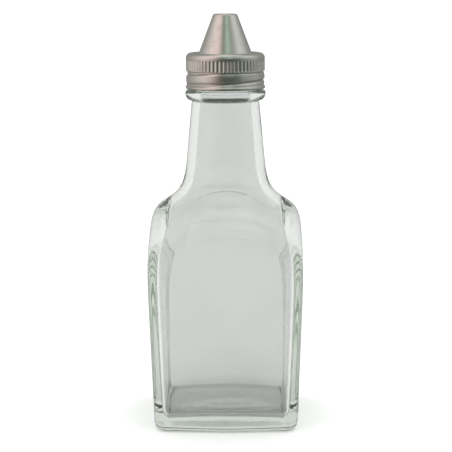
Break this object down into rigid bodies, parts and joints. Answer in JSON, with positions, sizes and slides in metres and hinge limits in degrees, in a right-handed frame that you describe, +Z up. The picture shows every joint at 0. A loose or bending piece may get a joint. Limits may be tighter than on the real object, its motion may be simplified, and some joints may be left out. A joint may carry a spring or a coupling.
{
  "type": "glass oil bottle",
  "caption": "Square tapered clear glass table bottle for oil or vinegar with a round neck, screwed metal ring cap and conical pouring spout.",
  "frame": {"origin": "centre of the base on the surface the bottle stands on", "axes": "+Z up the bottle's axis, X and Y square to the flat sides of the body"},
  "size_m": [0.058, 0.058, 0.156],
  "materials": {
    "glass": "clear, faint green-grey tint, fire-polished",
    "ring_metal": "spun satin, knurled band",
    "spout_metal": "spun satin",
    "washer": "matt off-white sealing washer"
  },
  "bodies": {
    "bottle": {"glass_bottle": "glass"},
    "spout": {"cone_spout": "spout_metal", "sealing_washer": "washer"},
    "cap": {"screw_ring": "ring_metal"}
  },
  "joints": [
    {"name": "cap_rise", "type": "slide", "parent": "bottle", "child": "spout", "axis": [0, 0, 1], "range_m": [0, 0.0128]},
    {"name": "cap_turn", "type": "hinge", "parent": "spout", "child": "cap", "pos_m": [0, 0, 0.135], "axis": [0, 0, 1], "range_deg": [0, 1080]}
  ],
  "couplings": [
    {"joint": "cap_rise", "follows": "cap_turn", "m_per_rad": 0.0006737}
  ]
}
